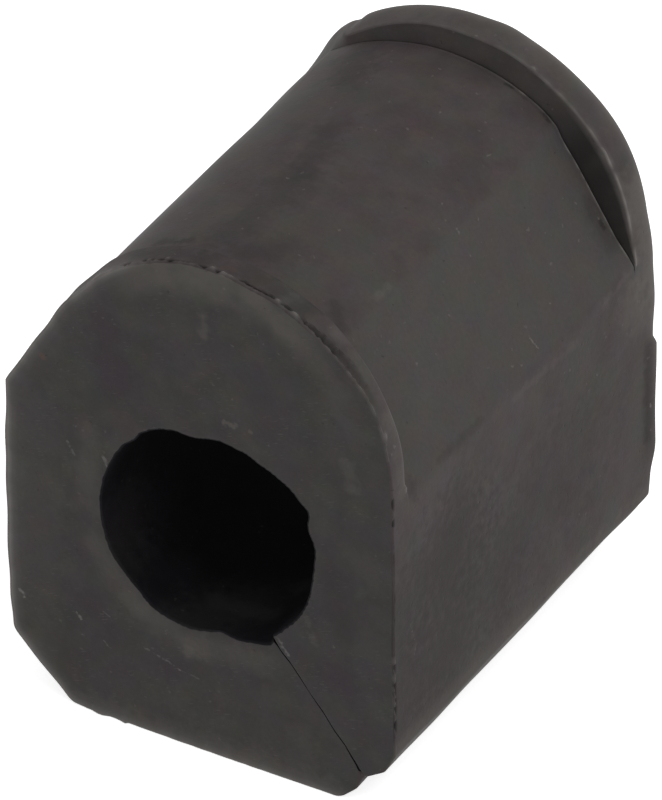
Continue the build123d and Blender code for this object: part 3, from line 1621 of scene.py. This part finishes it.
@dataclass(frozen=True)
class RubberFinish:
    """Matt black rubber, mottled and a little dusty, with painted highlights and painted shade.

    Args:
        name: The material's name.
        dark: The colour of the deeper mottling.
        light: The colour of the paler mottling.
        blush: The colour of broad blotches.
        blotch: The size of the blotches, in millimetres.
        roughness: How rough the surface is.
        specular: How strongly it shines.
        sheen: How much paler it is where it turns away.
        streaks: How strong the fine trim marks are.
        dust: How strong the fine dust specks are.
        band: How strong the band of dust under the arch is.
        facet: The colour of the saddle's right shoulder, if it has one of its own.
        marks: The marks at their own places.
        section: The block's cross section, which the shoulder's and the band's places follow.
        grain: How many grains the rubber has for each millimetre.
        relief: How deep its grain and pits are, in millimetres.
        apart: How far a place is moved for patches that don't follow the others.
        facet_span: Where the shoulder starts and ends behind the front end.
        band_depth: How far inside the end's edge the band ends, and where it is full.
        band_sides: How far the band reaches to the left and to the right.
        band_heights: The heights at which the band starts and is full.
        trim_slope: How steeply the trim marks rise.
        trim_shape: How close the trim marks are along, deep into and across the end.
    """

    name: str
    dark: Colour
    light: Colour
    blush: Colour
    blotch: float = 9.0
    roughness: float = 0.72
    specular: float = 0.22
    sheen: float = 0.06
    streaks: float = 0.0
    dust: float = 0.3
    band: float = 0.0
    facet: Colour | None = None
    marks: tuple[Mark, ...] = ()
    section: Section = Section()
    grain: float = 2.6
    relief: float = 0.12
    apart: Spot = (31.0, 7.0, 19.0)
    facet_span: Span = (3.0, 42.5)
    band_depth: Span = (4.4, 1.6)
    band_sides: Span = (-6.5, 11.5)
    band_heights: Span = (38.0, 44.0)
    trim_slope: float = 20.5
    trim_shape: Spot = (1.1, 1.0, 7.0)

    def make(self, place: Placing) -> bpy.types.Material:
        """Build the material.

        Args:
            place: Turns drawn millimetres into metres in the part's frame.

        Returns:
            The new material.
        """
        graph = Graph(bpy.data.materials.new(self.name))
        spot = graph.drawn(place)
        shifted = graph.vector("ADD", spot, self.apart)
        colour = self.mottled(graph, spot, shifted)
        for mark in self.marks:
            colour = graph.mix(graph.capsule(spot, mark), colour, mark.kind.value.colour)
        grain = graph.noise(spot, self.grain, 4.0)
        limits = {"From Min": 0.25, "From Max": 0.75, "To Min": 0.94, "To Max": 1.06}
        colour = graph.scaled(colour, graph.node("MapRange", {"Value": grain, **limits}).outputs[0])
        height = graph.product(grain, 0.5)
        if self.band:
            colour = graph.mix(self.dust_band(graph, spot), colour, MarkKind.DUST.value.colour)
        if self.streaks:
            trim = self.trim_marks(graph, spot)
            cover = graph.product(trim, self.streaks)
            colour = graph.mix(cover, colour, MarkKind.DUST.value.colour)
            height = graph.math("ADD", height, graph.product(trim, 0.3))
        fine = graph.specks(spot, 0.9, 0.18, 0.5)
        groups = graph.spread(graph.noise(shifted, 0.13, 2.0), 0.42, 0.58)
        fine = graph.product(graph.product(fine, groups), self.dust)
        colour = graph.mix(fine, colour, MarkKind.SCRATCH.value.colour)
        pits = graph.specks(graph.vector("ADD", spot, (5.0, 3.0, 8.0)), 0.7, 0.13, 0.6)
        colour = graph.mix(graph.product(pits, 0.5), colour, MarkKind.STAIN.value.colour)
        height = graph.math("SUBTRACT", height, graph.product(pits, 0.6))
        # Painted highlight: the mesh's highlight trace mixes in the pale scratch colour.
        colour = graph.mix(graph.trace("painted_highlight"), colour, MarkKind.SCRATCH.value.colour)
        # Painted shade: the mesh's shade trace mixes in a near-black colour.
        shade_strength = graph.product(graph.trace("painted_shade"), 0.85)
        colour = graph.mix(shade_strength, colour, MarkKind.GRIME.value.colour)
        lift = {"Height": height, "Strength": 0.35, "Distance": self.relief * MM}
        bump = graph.node("Bump", lift)
        inputs = {
            "Base Color": colour,
            "Roughness": self.roughness,
            "Specular IOR Level": self.specular,
            "Sheen Weight": self.sheen,
            "Sheen Roughness": 0.35,
            "Normal": bump.outputs[0],
        }
        shader = graph.node("BsdfPrincipled", inputs)
        graph.node("OutputMaterial", {"Surface": shader.outputs[0]})
        return graph.owner

    def mottled(self, graph: Graph, spot: Socket, shifted: Socket) -> Socket:
        """The rubber's own colour.

        Args:
            graph: The material's node tree.
            spot: The place on the block.
            shifted: The same place moved, for patches that don't follow the others.

        Returns:
            The colour at that place.
        """
        mottle = graph.spread(graph.noise(spot, 0.32, 4.0), 0.3, 0.7)
        colour = graph.mix(mottle, self.dark, self.light)
        blotches = graph.spread(graph.noise(shifted, 1.0 / self.blotch, 2.0), 0.48, 0.66)
        colour = graph.mix(graph.product(blotches, 0.7), colour, self.blush)
        if self.facet:
            colour = graph.mix(self.facet_share(graph, spot), colour, self.facet)
        hues = graph.vector("MULTIPLY", graph.cloud(spot, 0.4, 2.0, "Color"), (2.0, 2.0, 2.0))
        return graph.mix(0.14, colour, graph.vector("MULTIPLY", colour, hues))

    def facet_share(self, graph: Graph, spot: Socket) -> Socket:
        """Share of the surface that the saddle's right shoulder covers.

        Args:
            graph: The material's node tree.
            spot: The place on the block.

        Returns:
            The share of the surface.
        """
        across, up = self.section.saddle_right
        upper = Vector((across, 0.0, up))
        run = Vector((self.section.half, 0.0, self.section.foot)) - upper
        offset = graph.vector("SUBTRACT", spot, tuple(upper))
        down = graph.measure("DOT_PRODUCT", offset, tuple(run.normalized()))
        wobble = graph.math("SUBTRACT", graph.noise(spot, 0.3, 3.0), 0.5)
        down = graph.math("ADD", down, graph.product(wobble, 1.5))
        along = graph.node("SeparateXYZ", {0: spot}).outputs["Y"]
        lengthwise = graph.between(along, *self.facet_span, 0.4)
        return graph.product(graph.between(down, 0.0, run.length, 0.6), lengthwise)

    def dust_band(self, graph: Graph, spot: Socket) -> Socket:
        """Band of dust that follows the arch, just inside the end's edge.

        Args:
            graph: The material's node tree.
            spot: The place on the block.

        Returns:
            How strongly the dust covers the rubber.
        """
        across, up = self.section.rim_centre
        radius = self.section.rim_radius
        axis = graph.vector("SUBTRACT", spot, (across, 0.0, up))
        distance = graph.measure("LENGTH", graph.vector("MULTIPLY", axis, (1.0, 0.0, 1.0)))
        cloud = graph.product(graph.math("SUBTRACT", graph.noise(spot, 0.35, 1.5), 0.5), 3.0)
        end, full = self.band_depth
        inner = graph.spread(graph.math("ADD", distance, cloud), radius - end, radius - full)
        parts = graph.node("SeparateXYZ", {0: spot})
        sides = graph.between(parts.outputs["X"], *self.band_sides, 3.5)
        upper = graph.spread(parts.outputs["Z"], *self.band_heights)
        patches = graph.product(graph.spread(graph.noise(spot, 0.4, 2.0), 0.0, 0.6), self.band)
        return graph.product(graph.product(graph.product(sides, upper), inner), patches)

    def trim_marks(self, graph: Graph, spot: Socket) -> Socket:
        """Fine short streaks that the trimming left on an end, rising to the right.

        Args:
            graph: The material's node tree.
            spot: The place on the block.

        Returns:
            How strongly they show.
        """
        turn = {"Vector": spot, "Axis": (0.0, 1.0, 0.0), "Angle": math.radians(self.trim_slope)}
        turned = graph.node("VectorRotate", turn).outputs[0]
        drawn_out = graph.vector("MULTIPLY", turned, self.trim_shape)
        streak = graph.spread(graph.noise(drawn_out, 1.0, 1.0), 0.62, 0.74)
        return graph.product(streak, graph.spread(graph.noise(spot, 0.22, 2.0), 0.4, 0.6))


SKIN_MARKS = (
    # Painted shade: darker band along the crown of the saddle.
    Mark(MarkKind.STAIN, (-2.0, 26.9, 51.0), (-0.6, 20.0, 51.0), 2.4, 0.45),
    Mark(MarkKind.STAIN, (-0.9, 19.0, 51.0), (-1.5, 8.0, 50.9), 3.4, 0.35),
    Mark(MarkKind.STAIN, (1.0, 6.5, 51.0), (4.0, 9.0, 50.9), 3.2, 0.35),
    Mark(MarkKind.STAIN, (10.3, 6.8, 48.6), (11.6, 5.5, 47.6), 1.4, 0.45),
    # Painted shadow behind the front rim.
    Mark(MarkKind.STAIN, (-7.8, 6.4, 49.0), (-4.5, 6.6, 50.2), 0.9, 0.6, 0.5),
    Mark(MarkKind.MOSS, (10.9, 34.6, 48.0), (10.6, 33.6, 48.2), 1.1, 0.4),
    Mark(MarkKind.SCRATCH, (10.5, 33.9, 48.2), (10.4, 33.4, 48.3), 0.14, 0.26, 0.9, 3.0),
    Mark(MarkKind.RUST, (2.6, 1.0, 53.3), (3.6, 1.2, 53.2), 0.5, 0.25, 0.7, 1.5),
    Mark(MarkKind.SCRATCH, (-0.8, 3.1, 51.0), (1.4, 2.9, 51.0), 0.20, 0.17, 0.9, 2.0),
    Mark(MarkKind.DUST, (11.9, 11.2, 47.3), (12.2, 13.2, 47.1), 0.7, 0.3, 0.4),
    # Painted shade along the foot of the rear rim's wall.
    Mark(MarkKind.STAIN, (7.4, 42.1, 49.7), (11.5, 42.2, 47.6), 0.5, 0.4, 0.5),
    Mark(MarkKind.GRIME, (7.5, 42.2, 49.7), (7.9, 42.2, 49.6), 0.4, 0.6, 0.5, 2.0),
    Mark(MarkKind.GRIME, (11.4, 42.3, 47.6), (11.8, 42.3, 47.4), 0.45, 0.5, 0.5, 2.0),
    Mark(MarkKind.GRIME, (17.4, 41.6, 38.5), (17.7, 41.7, 37.9), 0.45, 0.6, 0.5, 2.0),
    # Painted shade: broad darkening of the right side.
    Mark(MarkKind.STAIN, (20.0, 9.0, 13.0), (20.0, 10.0, 23.0), 9.5, 0.45),
    Mark(MarkKind.STAIN, (20.0, 1.5, 9.0), (20.0, 1.5, 21.0), 7.0, 0.3),
    Mark(MarkKind.STAIN, (20.0, -2.0, 22.0), (20.0, 12.0, 24.0), 10.0, 0.4),
    Mark(MarkKind.STAIN, (20.0, -2.0, 12.0), (20.0, 16.0, 14.0), 11.0, 0.36),
    Mark(MarkKind.STAIN, (20.0, 20.0, 17.0), (20.0, 32.0, 20.0), 12.0, 0.38),
    # Painted shade in the corner between the right shoulder and the rear rim's wall.
    Mark(MarkKind.STAIN, (16.6, 41.2, 40.0), (18.4, 41.4, 36.5), 1.8, 0.4),
    # Painted shade on the upper left of the saddle.
    Mark(MarkKind.STAIN, (-6.6, 39.6, 49.4), (-5.0, 36.0, 50.0), 3.6, 0.55),
    # Painted shade along the front rim's top.
    Mark(MarkKind.STAIN, (-7.0, 1.4, 51.6), (-0.5, 1.4, 53.2), 2.3, 0.5),
    Mark(MarkKind.STAIN, (0.5, 1.4, 53.3), (7.5, 1.6, 52.3), 2.0, 0.45),
    Mark(MarkKind.STAIN, (10.0, 0.9, 51.3), (10.8, 2.8, 51.0), 1.7, 0.5),
    Mark(MarkKind.DUST, (13.0, 2.0, 49.4), (14.0, 2.4, 48.6), 1.1, 0.3),
    Mark(MarkKind.DUST, (-4.0, 44.5, 52.3), (9.0, 44.5, 51.6), 2.4, 0.22),
    Mark(MarkKind.DUST, (-11.4, 44.0, 47.6), (-8.5, 44.6, 49.2), 1.2, 0.45),
    # Painted shadow below the front rim's tip and along the crease of the right shoulder.
    Mark(MarkKind.STAIN, (19.9, 3.8, 34.9), (20.0, 4.1, 33.2), 1.3, 0.35, 0.4),
    Mark(MarkKind.STAIN, (20.0, 8.5, 34.0), (20.0, 15.5, 33.7), 0.9, 0.3),
    # Painted highlight along the crease of the right shoulder.
    Mark(MarkKind.DUST, (20.0, 21.5, 32.5), (20.0, 32.4, 32.1), 0.8, 0.2, 0.6),
    Mark(MarkKind.DUST, (20.0, 37.0, 33.1), (20.0, 42.0, 33.8), 0.7, 0.25, 0.6),
    Mark(MarkKind.DUST, (19.9, 1.9, 35.3), (18.7, 1.7, 42.0), 1.7, 0.34),
    Mark(MarkKind.DUST, (18.6, 1.7, 42.2), (15.0, 2.0, 47.7), 1.1, 0.18),
    Mark(MarkKind.DUST, (19.2, 44.8, 40.5), (20.0, 45.0, 31.0), 3.4, 0.5),
    Mark(MarkKind.DUST, (20.0, 41.5, 30.5), (20.0, 44.5, 28.0), 3.6, 0.35),
    Mark(MarkKind.DUST, (20.0, 0.6, 6.4), (20.0, 45.0, 6.4), 2.6, 0.36),
    # Painted shade on the flare's slope, which turns away from the lamp.
    Mark(MarkKind.STAIN, (20.7, 44.9, 23.3), (20.7, 44.9, 13.6), 1.0, 0.62, 0.35),
    Mark(MarkKind.SCRATCH, (20.6, 45.2, 17.2), (20.6, 45.4, 16.4), 0.13, 0.51, 0.9, 2.0),
    Mark(MarkKind.SCRATCH, (20.0, 3.0, 19.5), (20.0, 4.0, 16.6), 0.09, 0.34, 0.9, 3.0),
    Mark(MarkKind.SCRATCH, (20.0, 4.0, 16.6), (20.0, 3.5, 15.1), 0.09, 0.26, 0.9, 3.0),
    Mark(MarkKind.SCRATCH, (18.8, 26.1, 36.0), (19.5, 26.5, 34.7), 0.13, 0.45, 0.9, 3.0),
)

FACE_MARKS = (
    Mark(MarkKind.DUST, (0.9, 0.0, 48.0), (0.8, 0.0, 46.0), 0.8, 0.35, 0.5, 0.7),
    Mark(MarkKind.MOSS, (-0.5, 0.0, 50.6), (0.5, 0.0, 50.0), 1.7, 0.5),
    Mark(MarkKind.PLUM, (-9.8, 0.0, 44.0), (-7.9, 0.0, 38.0), 3.4, 0.6),
    Mark(MarkKind.PLUM, (14.0, 0.0, 13.5), (15.0, 0.0, 12.5), 3.2, 0.6),
    Mark(MarkKind.PLUM, (-14.0, 0.0, 13.0), (-9.5, 0.0, 9.5), 2.6, 0.4),
    Mark(MarkKind.DUST, (-11.4, 0.0, 31.0), (-11.4, 0.0, 23.5), 2.0, 0.22, 0.3, 0.6),
    Mark(MarkKind.DUST, (-10.8, 0.0, 18.6), (-6.6, 0.0, 13.7), 2.2, 0.24, 0.3, 0.6),
    Mark(MarkKind.DUST, (-6.6, 0.0, 13.7), (-1.0, 0.0, 11.3), 2.3, 0.24, 0.3, 0.6),
    Mark(MarkKind.DUST, (-1.0, 0.0, 11.3), (6.0, 0.0, 12.2), 2.2, 0.25, 0.3, 0.6),
    Mark(MarkKind.DUST, (15.4, 0.0, 37.2), (15.9, 0.0, 34.9), 1.1, 0.25, 0.5),
    # Painted highlight along the front end's lower and left edges.
    Mark(MarkKind.DUST, (-13.0, 0.0, 0.2), (13.5, 0.0, 0.4), 2.4, 0.25),
    Mark(MarkKind.DUST, (-10.0, 0.0, 3.5), (10.0, 0.0, 3.5), 4.5, 0.1),
    Mark(MarkKind.DUST, (-17.0, 0.0, 12.0), (-17.0, 0.0, 31.0), 4.5, 0.12),
    Mark(MarkKind.DUST, (-19.9, 0.0, 6.4), (-14.2, 0.0, 0.3), 1.4, 0.2),
    Mark(MarkKind.DUST, (-1.4, 0.0, 10.4), (-1.0, 0.0, 10.6), 0.9, 0.35, 0.6),
    Mark(MarkKind.DUST, (2.9, 0.0, 37.3), (4.0, 0.0, 37.3), 0.45, 0.5, 0.6, 2.0),
    Mark(MarkKind.DUST, (5.4, 0.0, 37.3), (5.6, 0.0, 37.2), 0.25, 0.4, 0.6, 2.0),
    Mark(MarkKind.SCRATCH, (-9.8, 0.0, 28.9), (-9.5, 0.0, 28.2), 0.26, 0.42, 0.9, 2.0),
    Mark(MarkKind.SCRATCH, (-13.5, 0.0, 29.3), (-12.8, 0.0, 28.1), 0.24, 0.30, 0.9, 2.0),
    Mark(MarkKind.SCRATCH, (8.1, 0.0, 15.4), (9.0, 0.0, 13.9), 0.22, 0.45, 0.9, 2.0),
    Mark(MarkKind.DUST, (10.9, 0.0, 18.7), (11.2, 0.0, 18.2), 0.6, 0.22, 0.5, 2.0),
    Mark(MarkKind.DUST, (11.5, 0.0, 17.1), (11.8, 0.0, 16.3), 0.6, 0.2, 0.5, 2.0),
    Mark(MarkKind.DUST, (13.0, 0.0, 47.2), (16.3, 0.0, 40.5), 2.4, 0.14),
    Mark(MarkKind.DUST, (-1.0, 0.0, 44.0), (2.0, 0.0, 42.0), 3.5, 0.07),
    Mark(MarkKind.STAIN, (14.0, 0.0, 24.0), (14.5, 0.0, 19.0), 3.5, 0.3),
    Mark(MarkKind.SCRATCH, (-6.1, 0.0, 9.1), (-3.8, 0.0, 8.6), 0.13, 0.30, 0.9, 3.0),
    Mark(MarkKind.SCRATCH, (-3.8, 0.0, 8.6), (-2.3, 0.0, 8.0), 0.13, 0.38, 0.9, 3.0),
    Mark(MarkKind.SCRATCH, (-2.3, 0.0, 8.0), (-0.2, 0.0, 7.7), 0.12, 0.26, 0.9, 3.0),
    Mark(MarkKind.SCRATCH, (-10.3, 0.0, 11.6), (-8.0, 0.0, 10.4), 0.11, 0.30, 0.9, 3.0),
    Mark(MarkKind.SCRATCH, (-13.1, 0.0, 10.5), (-12.6, 0.0, 9.9), 0.17, 0.51, 0.9, 3.0),
    Mark(MarkKind.SCRATCH, (-10.3, 0.0, 8.3), (-9.6, 0.0, 7.7), 0.12, 0.34, 0.9, 3.0),
    Mark(MarkKind.SCRATCH, (-18.9, 0.0, 10.9), (-18.6, 0.0, 10.2), 0.22, 0.59, 0.9, 2.0),
    Mark(MarkKind.SCRATCH, (-3.7, 0.0, 5.5), (-3.4, 0.0, 5.1), 0.16, 0.26, 0.9, 2.0),
    Mark(MarkKind.SCRATCH, (3.7, 0.0, 46.0), (3.9, 0.0, 45.9), 0.16, 0.34, 0.9, 2.0),
    Mark(MarkKind.SCRATCH, (8.4, 0.0, 46.8), (8.6, 0.0, 46.7), 0.14, 0.42, 0.9, 2.0),
    Mark(MarkKind.RUST, (-16.0, 0.0, 37.9), (-15.9, 0.0, 37.7), 0.4, 0.5, 0.5),
)

# Painted sheen on the bore's left wall and floor near its mouth, with some dust.
BORE_MARKS = (
    Mark(MarkKind.DUST, (-1.0, 1.0, 13.3), (2.0, 6.0, 13.2), 5.0, 0.07),
    Mark(MarkKind.DUST, (-8.6, 0.5, 18.2), (-9.8, 4.5, 20.5), 4.5, 0.05),
    Mark(MarkKind.DUST, (-1.4, 4.8, 13.4), (4.6, 4.3, 14.0), 1.8, 0.07, 0.4, 0.6),
    Mark(MarkKind.DUST, (5.5, 9.0, 13.8), (6.8, 12.0, 14.6), 2.2, 0.1, 0.4, 0.6),
    Mark(MarkKind.PLUM, (-9.9, 1.0, 21.0), (-9.0, 8.0, 19.0), 5.0, 0.12),
)

FINISHES = {
    Surface.SKIN: RubberFinish(
        "moulded_skin",
        dark=(0.0525, 0.0435, 0.0435, 1.0),
        light=(0.0635, 0.0535, 0.0530, 1.0),
        blush=(0.0575, 0.0540, 0.0495, 1.0),
        specular=0.12,
        facet=(0.0625, 0.0570, 0.0545, 1.0),
        marks=SKIN_MARKS,
    ),
    Surface.FACE: RubberFinish(
        "cut_end",
        dark=(0.0425, 0.0400, 0.0385, 1.0),
        light=(0.0540, 0.0500, 0.0475, 1.0),
        blush=(0.0470, 0.0410, 0.0450, 1.0),
        blotch=6.0,
        specular=0.15,
        streaks=0.3,
        dust=0.2,
        band=0.6,
        marks=FACE_MARKS,
    ),
    # Painted shade: the bore's and the slit's walls are near black, far darker than the rubber
    # outside, for the shade inside them.
    Surface.BORE: RubberFinish(
        "shaded_bore_wall",
        dark=(0.0035, 0.0032, 0.0045, 1.0),
        light=(0.0060, 0.0058, 0.0075, 1.0),
        blush=(0.0065, 0.0060, 0.0085, 1.0),
        roughness=0.75,
        specular=0.12,
        sheen=0.0,
        dust=0.08,
        marks=BORE_MARKS,
    ),
}


@dataclass(frozen=True)
class PortraitCamera:
    """The camera, placed as for the portrait.

    Args:
        aim: The point on the view's middle line, as drawn in millimetres.
        yaw: How far the view turns to the left of straight ahead.
        pitch: How far it looks down.
        roll: How far it leans.
        distance: The distance to the aim, in millimetres.
        lens: The focal length for a sensor height of 36 mm.
    """

    aim: Spot = (0.79, 21.85, 25.26)
    yaw: float = 30.88
    pitch: float = 35.94
    roll: float = 0.74
    distance: float = 1108.5
    lens: float = 554.9

    def build(self, place: Placing) -> bpy.types.Object:
        """Make the camera and look through it.

        Args:
            place: Turns drawn millimetres into metres in the part's frame.

        Returns:
            The camera.
        """
        lens = bpy.data.cameras.new("portrait")
        lens.sensor_fit = "VERTICAL"
        lens.sensor_height = 36.0
        lens.lens = self.lens
        lens.clip_start = 0.01
        camera = bpy.data.objects.new("portrait", lens)
        turn = (
            Matrix.Rotation(math.radians(self.yaw), 4, "Z")
            @ Matrix.Rotation(math.radians(90.0 - self.pitch), 4, "X")
            @ Matrix.Rotation(math.radians(-self.roll), 4, "Z")
        )
        aim = Vector(place.metres(np.array(self.aim)))
        back = Matrix.Translation((0.0, 0.0, self.distance * MM))
        camera.matrix_world = Matrix.Translation(aim) @ turn @ back
        bpy.context.scene.collection.objects.link(camera)
        bpy.context.scene.camera = camera
        return camera


@dataclass(frozen=True)
class Lamp:
    """Soft rectangular lamp.

    Args:
        name: Its name.
        azimuth: The side it stands on, where 0 is the front and 90 the right.
        height: Its angle above the floor.
        size: The length of its side, in metres.
        power: Its power, in watts.
        distance: Its distance from the block, in metres.
    """

    name: str
    azimuth: float
    height: float
    size: float
    power: float
    distance: float = 1.2

    def build(self, target: Vector) -> None:
        """Make the lamp and point it at the target.

        Args:
            target: The point it lights, in metres.
        """
        light = bpy.data.lights.new(self.name, "AREA")
        light.size = self.size
        light.energy = self.power
        turn, lift = math.radians(self.azimuth), math.radians(self.height)
        flat = math.cos(lift)
        way = Vector((math.sin(turn) * flat, -math.cos(turn) * flat, math.sin(lift)))
        lamp = bpy.data.objects.new(self.name, light)
        aimed = way.to_track_quat("Z", "Y").to_matrix().to_4x4()
        lamp.matrix_world = Matrix.Translation(target + way * self.distance) @ aimed
        bpy.context.scene.collection.objects.link(lamp)


@dataclass(frozen=True)
class Studio:
    """White floor and soft light from all sides.

    Args:
        floor_size: The length of the floor's side, in metres.
        floor_colour: The floor's own colour.
        floor_glow: What the camera sees on top of it, so that the lit floor is white.
        sky: The strength of the light from all round.
        lamps: The lamps.
    """

    floor_size: float = 6.0
    floor_colour: float = 0.85
    floor_glow: float = 0.7
    sky: float = 0.75
    lamps: tuple[Lamp, ...] = (Lamp("key_lamp", 88.0, 58.0, 1.0, 6.0),)

    def build(self, low: Vector) -> None:
        """Make the floor, the sky and the lamps.

        Args:
            low: The lowest corner of the block, which stands on the floor.
        """
        half = self.floor_size / 2
        mesh = bpy.data.meshes.new("floor")
        corners = [(-half, -half), (half, -half), (half, half), (-half, half)]
        mesh.from_pydata([(x, y, low.z) for x, y in corners], [], [(0, 1, 2, 3)])
        floor = bpy.data.objects.new("floor", mesh)
        floor.data.materials.append(self.floor_material())
        bpy.context.scene.collection.objects.link(floor)
        self.build_sky()
        for lamp in self.lamps:
            lamp.build(Vector((0.0, 0.0, 0.0)))
        bpy.context.scene.view_settings.view_transform = "Standard"

    @staticmethod
    def seen(graph: Graph) -> Socket:
        """Whether the camera sees the surface, itself or in or through something else.

        Args:
            graph: The node tree that asks.

        Returns:
            A socket that is 1 where that is so.
        """
        rays = graph.node("LightPath").outputs
        seen = graph.math("MAXIMUM", rays["Is Camera Ray"], rays["Is Glossy Ray"])
        return graph.math("MAXIMUM", seen, rays["Is Transmission Ray"])

    def floor_material(self) -> bpy.types.Material:
        """White that keeps the block's shadow and shows as white to the camera.

        Returns:
            The new material.
        """
        graph = Graph(bpy.data.materials.new("white_floor"))
        strength = graph.product(self.seen(graph), self.floor_glow)
        glow = graph.node("Emission", {"Strength": strength})
        level = self.floor_colour
        paint = graph.node("BsdfDiffuse", {"Color": (level, level, level, 1.0)})
        both = graph.node("AddShader", {0: glow.outputs[0], 1: paint.outputs[0]})
        graph.node("OutputMaterial", {"Surface": both.outputs[0]})
        return graph.owner

    def build_sky(self) -> None:
        """Light from all round, which shows as white."""
        graph = Graph(bpy.data.worlds.new("sky"))
        levels = {"Value": self.seen(graph), "To Min": self.sky, "To Max": 1.0}
        level = graph.node("MapRange", levels).outputs[0]
        light = graph.node("Background", {"Strength": level})
        graph.node("OutputWorld", {"Surface": light.outputs[0]})
        bpy.context.scene.world = graph.owner


def main() -> None:
    """Build the stage and the block in order, and log the block's face count."""
    logging.basicConfig(level=logging.INFO, format="%(message)s")
    low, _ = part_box(NODE)
    place = Placing(low, Section().width / 2)
    PortraitCamera().build(place)
    Studio().build(low)
    block = Bushing().build(place)
    for surface in Surface:
        block.data.materials.append(FINISHES[surface].make(place))
    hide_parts(NODE)
    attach(block, "root")
    LOG.info("%s: %d faces", block.name, len(block.data.polygons))


if __name__ == "__main__":
    main()
